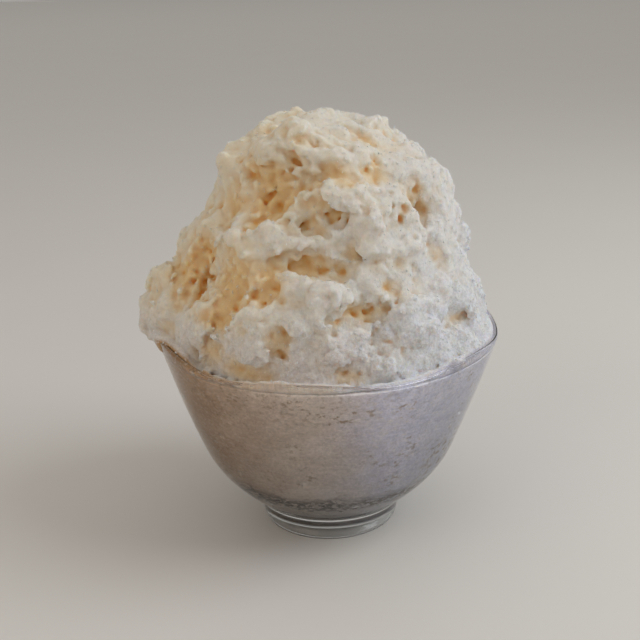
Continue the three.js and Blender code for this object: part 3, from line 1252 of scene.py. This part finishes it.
def build_stage(settings):
    """A round floor, three lamps, an even glow and the camera."""
    mesh = bpy.data.meshes.new("floor")
    rim = [(12 * math.cos(a), 12 * math.sin(a), 0) for a in np.linspace(0, 2 * math.pi, 48, False)]
    mesh.from_pydata(rim, [], [tuple(range(48))])
    mesh.materials.append(floor_material(settings))
    floor = linked("floor", mesh)
    add_lamp("window", (0.75, -0.15, 0.75), (0, 0, 0.08), 0.7, settings.window_power, (0.93, 0.97, 1.0))
    add_lamp("room", (-0.8, -0.7, 0.6), (0, 0, 0.06), 0.9, settings.room_power, (1.0, 0.86, 0.70))
    add_lamp("ceiling", (0.0, 0.0, 4.0), (0, 0, 0), 14.0, settings.ceiling_power, (1.0, 0.97, 0.93))
    world = bpy.data.worlds.new("room_light")
    world.use_nodes = True
    nodes = Nodes(world.node_tree)
    world.node_tree.nodes.clear()
    light = nodes.add(
        "ShaderNodeBackground", None, {"Color": (1.0, 0.97, 0.93, 1.0), "Strength": settings.room_glow}
    )["Background"]
    nodes.add("ShaderNodeOutputWorld", None, {"Surface": light})
    bpy.context.scene.world = world
    bpy.context.scene.view_settings.view_transform = "Standard"
    add_camera()


# ---- Settings, operators and panel ----


def colour_setting(name, description, default):
    """A colour that the sidebar can change."""
    return FloatVectorProperty(
        name=name, description=description, subtype="COLOR", default=default, min=0.0, max=1.0
    )


class DessertIceSettings(bpy.types.PropertyGroup):
    """Sizes, counts and colours of the ice. Lengths are in millimetres."""

    cell: FloatProperty(name="Cell", description="Size of the grid cells", default=0.6, min=0.3)
    bite: FloatProperty(name="Bite", description="How far the ice reaches into the glass", default=0.45)
    shrink: FloatProperty(name="Shrink", description="How far the heap is drawn in", default=1.7)
    fold_depth: FloatProperty(name="Fold depth", description="Depth of the folds", default=1.0)
    seed: IntProperty(name="Seed", description="Start of the random draws", default=4)
    far_marks: IntProperty(name="Far marks", description="Lumps and hollows at the back", default=40)
    pores: IntProperty(name="Pores", description="Small pores in the heap", default=200)
    crumbs: IntProperty(name="Crumbs", description="Small clumps on the heap", default=600)
    pockets: IntProperty(name="Pockets", description="Air pockets against the glass", default=350)
    heap_triangles: IntProperty(name="Heap triangles", description="In the heap's mesh", default=190000)
    filling_triangles: IntProperty(name="Filling triangles", description="In the bowl's ice", default=110000)
    flake_density: FloatProperty(name="Flakes", description="Per square metre", default=3.0e5)
    needle_density: FloatProperty(name="Needles", description="Per square metre", default=4.0e5)
    grain_density: FloatProperty(name="Grains", description="Per square metre", default=9.0e5)
    ice_colour: colour_setting("Ice", "Ice with little milk", (0.79, 0.795, 0.82))
    milk_colour: colour_setting("Milk", "Ice soaked with milk", (0.775, 0.695, 0.55))
    stain_colour: colour_setting("Stains", "Yellowish pools of milk", (0.80, 0.62, 0.34))
    fleck_colour: colour_setting("Flecks", "Damp flecks between the grains", (0.55, 0.42, 0.32))
    # Tan of milk pooled in folds, and painted shade in the hollows.
    hollow_milk_and_shade_colour: colour_setting("Warm milk", "Thick milk in folds", (0.79, 0.555, 0.28))
    # Amber of syrup in the pores, and painted shade in their depths.
    pore_syrup_and_shade_colour: colour_setting("Pores", "Depth of the pores", (0.85, 0.49, 0.135))
    # Painted reflection of a brown tray and painted shade on the left.
    brown_reflection_and_shade_colour: colour_setting("Brown ice", "Pressed ice on the left", (0.41, 0.22, 0.08))
    # Also the painted shadow tint on the heap's low front.
    grey_ice_and_shadow_colour: colour_setting("Grey ice", "Pressed ice in the middle", (0.79, 0.67, 0.60))
    # Painted cool window light on the right.
    lilac_window_light_colour: colour_setting("Lilac ice", "Pressed ice on the right", (0.73, 0.71, 0.84))
    # Painted shade of air gaps against the glass, brown from the tray seen in them.
    gap_speck_shade_colour: colour_setting("Wet ice", "Syrup against the glass", (0.34, 0.22, 0.12))
    frost_colour: colour_setting("Frost", "Dry white ice in the bowl", (0.88, 0.81, 0.75))
    # Painted shadow in gaps low in the bowl.
    gap_shadow_colour: colour_setting("Gaps", "Gaps low in the bowl", (0.085, 0.055, 0.038))


class DessertStageSettings(bpy.types.PropertyGroup):
    """The floor and the lamps."""

    floor_colour: colour_setting("Floor", "Colour of the floor", (0.80, 0.77, 0.73))
    window_power: FloatProperty(name="Window", description="Power of the window", default=4.25)
    room_power: FloatProperty(name="Room", description="Power of the room's light", default=1.7)
    ceiling_power: FloatProperty(name="Ceiling", description="Power of the ceiling", default=35.0)
    room_glow: FloatProperty(name="Glow", description="Light from all round", default=0.38)


class DESSERT_OT_bowl(bpy.types.Operator):
    """Build the glass bowl"""

    bl_idname = "dessert.bowl"
    bl_label = "Glass Bowl"

    def execute(self, context):
        build_bowl()
        return {"FINISHED"}


class DESSERT_OT_heap(bpy.types.Operator):
    """Build the heap of ice above the rim"""

    bl_idname = "dessert.heap"
    bl_label = "Heap of Ice"

    def execute(self, context):
        build_heap(context.scene.dessert_ice)
        return {"FINISHED"}


class DESSERT_OT_loose(bpy.types.Operator):
    """Strew loose flakes, grains and needles over the heap"""

    bl_idname = "dessert.loose"
    bl_label = "Loose Ice"

    def execute(self, context):
        build_loose(context.scene.dessert_ice)
        return {"FINISHED"}


class DESSERT_OT_filling(bpy.types.Operator):
    """Build the ice inside the bowl"""

    bl_idname = "dessert.filling"
    bl_label = "Ice in the Bowl"

    def execute(self, context):
        build_filling(context.scene.dessert_ice)
        return {"FINISHED"}


class DESSERT_OT_stage(bpy.types.Operator):
    """Set up the floor, the lamps and the camera"""

    bl_idname = "dessert.stage"
    bl_label = "Stage"

    def execute(self, context):
        build_stage(context.scene.dessert_stage)
        return {"FINISHED"}


OPERATORS = (DESSERT_OT_bowl, DESSERT_OT_filling, DESSERT_OT_heap, DESSERT_OT_loose, DESSERT_OT_stage)


class DESSERT_PT_panel(bpy.types.Panel):
    """The dessert's pieces, in the order they are built"""

    bl_label = "Shaved Ice Dessert"
    bl_idname = "DESSERT_PT_panel"
    bl_space_type = "VIEW_3D"
    bl_region_type = "UI"
    bl_category = "Dessert"

    def draw(self, context):
        for operator in OPERATORS:
            self.layout.operator(operator.bl_idname)


CLASSES = (DessertIceSettings, DessertStageSettings, *OPERATORS, DESSERT_PT_panel)


def register():
    for cls in CLASSES:
        bpy.utils.register_class(cls)
    bpy.types.Scene.dessert_ice = PointerProperty(type=DessertIceSettings)
    bpy.types.Scene.dessert_stage = PointerProperty(type=DessertStageSettings)


def unregister():
    del bpy.types.Scene.dessert_stage
    del bpy.types.Scene.dessert_ice
    for cls in reversed(CLASSES):
        bpy.utils.unregister_class(cls)


def main():
    register()
    bpy.ops.dessert.bowl()
    bpy.ops.dessert.filling()
    bpy.ops.dessert.heap()
    bpy.ops.dessert.loose()
    bpy.ops.dessert.stage()


if __name__ == "__main__":
    main()
